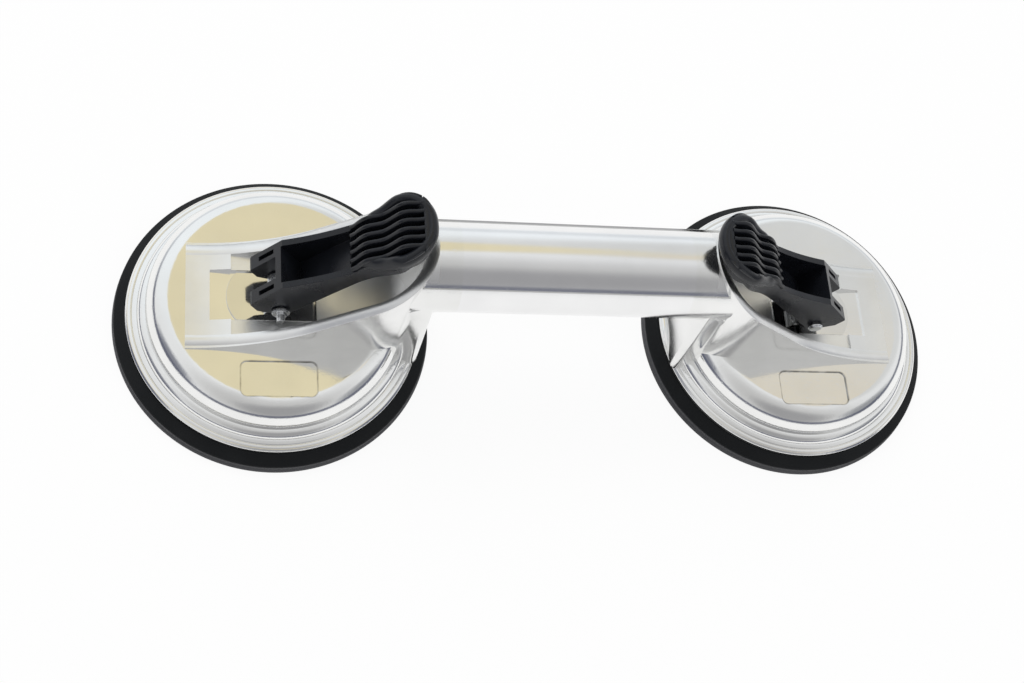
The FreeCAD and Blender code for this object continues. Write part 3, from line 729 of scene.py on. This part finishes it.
# ---- studio: what the polished metal mirrors ----
# Patches of it: direction, inner and outer angle in degrees, colour.
STUDIO = [
    ((0.0, 1.0, 0.35), 30, 70, (0.93, 0.97, 1.0)),
    ((0.0, -1.0, 0.9), 20, 60, (0.58, 0.58, 0.58)),
    ((0.1, -0.85, 0.6), 10, 34, (0.36, 0.36, 0.37)),
    ((0.55, 0.50, 0.70), 16, 34, (0.70, 0.71, 0.71)),
    ((0.06, 0.42, 0.90), 10, 17, (0.80, 0.72, 0.49)),
    ((0.40, 0.27, 0.88), 3, 9, (0.76, 0.70, 0.58)),
    ((-1.0, -0.2, 0.25), 8, 26, (0.25, 0.26, 0.30)),
    ((1.0, -0.5, 0.3), 8, 24, (0.35, 0.36, 0.38)),
]
PLAIN_SKY = (0.85, 0.86, 0.87)
# A dark band low down, as of the unlit room: its height, its core and edge, and its share.
BAND_HEIGHT, BAND_CORE, BAND_EDGE, BAND_SHARE = 0.13, 0.06, 0.13, 0.9
BAND_COLOUR = (0.12, 0.13, 0.18)
# It is weaker towards the bright wall at the back: direction, inner and outer angle, share left.
BAND_BREAK, BREAK_INNER, BREAK_OUTER, BREAK_SHARE = (0.15, 1, 0), 20, 75, 0.25


def patch(tree, towards, direction, inner, outer):
    """1 within inner degrees of a direction, falling smoothly to 0 at outer degrees."""
    aim = Vector(direction).normalized()
    facing = add_node(tree, "ShaderNodeVectorMath", {"operation": "DOT_PRODUCT"},
                      {0: towards, 1: aim}).outputs["Value"]
    return add_node(tree, "ShaderNodeMapRange", {"interpolation_type": "SMOOTHSTEP"}, {
        "Value": facing, "From Min": math.cos(math.radians(outer)),
        "From Max": math.cos(math.radians(inner))}).outputs["Result"]


def make_studio():
    """A world of soft patches of light and shade, which the camera itself sees as white."""
    world = bpy.data.worlds.new("studio")
    bpy.context.scene.world = world
    world.use_nodes = True
    tree = world.node_tree
    towards = add_node(tree, "ShaderNodeTexCoord").outputs["Generated"]
    colour = PLAIN_SKY
    for direction, inner, outer, shade in STUDIO:
        colour = blend_colours(tree, patch(tree, towards, direction, inner, outer), colour, shade)
    from_band = math_node(tree, "ABSOLUTE", math_node(
        tree, "SUBTRACT", split(tree, towards)["Z"], BAND_HEIGHT))
    at_back = patch(tree, towards, BAND_BREAK, BREAK_INNER, BREAK_OUTER)
    band = math_node(tree, "MULTIPLY", remap(tree, from_band, BAND_CORE, BAND_EDGE, BAND_SHARE, 0),
                     remap(tree, at_back, 0, 1, 1, BREAK_SHARE))
    colour = blend_colours(tree, band, colour, BAND_COLOUR)
    path = add_node(tree, "ShaderNodeLightPath")
    colour = blend_colours(tree, path.outputs["Is Camera Ray"], colour, (1, 1, 1))
    surround = tree.nodes["Background"]
    tree.links.new(colour, surround.inputs["Color"])
    surround.inputs["Strength"].default_value = 1.0


make_studio()


def make_softbox(name, place, size, power):
    """A round lamp aimed at the part's middle, which the metal doesn't mirror."""
    lamp = bpy.data.lights.new(name, "AREA")
    lamp.shape = "DISK"
    lamp.size = size
    lamp.energy = power
    holder = bpy.data.objects.new(name, lamp)
    holder.location = place
    holder.rotation_mode = "QUATERNION"
    holder.rotation_quaternion = (-Vector(place)).to_track_quat("-Z", "Y")
    holder.visible_glossy = False
    bpy.context.scene.collection.objects.link(holder)


make_softbox("key_softbox", (-0.5, 0.9, 1.3), 0.7, 8)
make_softbox("fill_softbox", (0.9, -0.6, 1.2), 0.9, 4)


# ---- camera ----
CAMERA_PLACE = Vector((-0.1553, -0.2559, 0.5655))
CAMERA_AIM = Vector((-0.0102, -0.0048, 0.0))
CAMERA_ROLL = math.radians(28.52)
LENS, SENSOR = 55.95, 36.0


def make_camera():
    """The view of the photograph."""
    data = bpy.data.cameras.new("camera")
    data.lens = LENS
    data.sensor_width = SENSOR
    camera = bpy.data.objects.new("camera", data)
    camera.location = CAMERA_PLACE
    camera.rotation_mode = "QUATERNION"
    facing = (CAMERA_AIM - CAMERA_PLACE).to_track_quat("-Z", "Y")
    camera.rotation_quaternion = facing @ Quaternion((0, 0, 1), CAMERA_ROLL)
    bpy.context.scene.collection.objects.link(camera)
    bpy.context.scene.camera = camera


make_camera()
bpy.context.scene.view_settings.view_transform = "Standard"
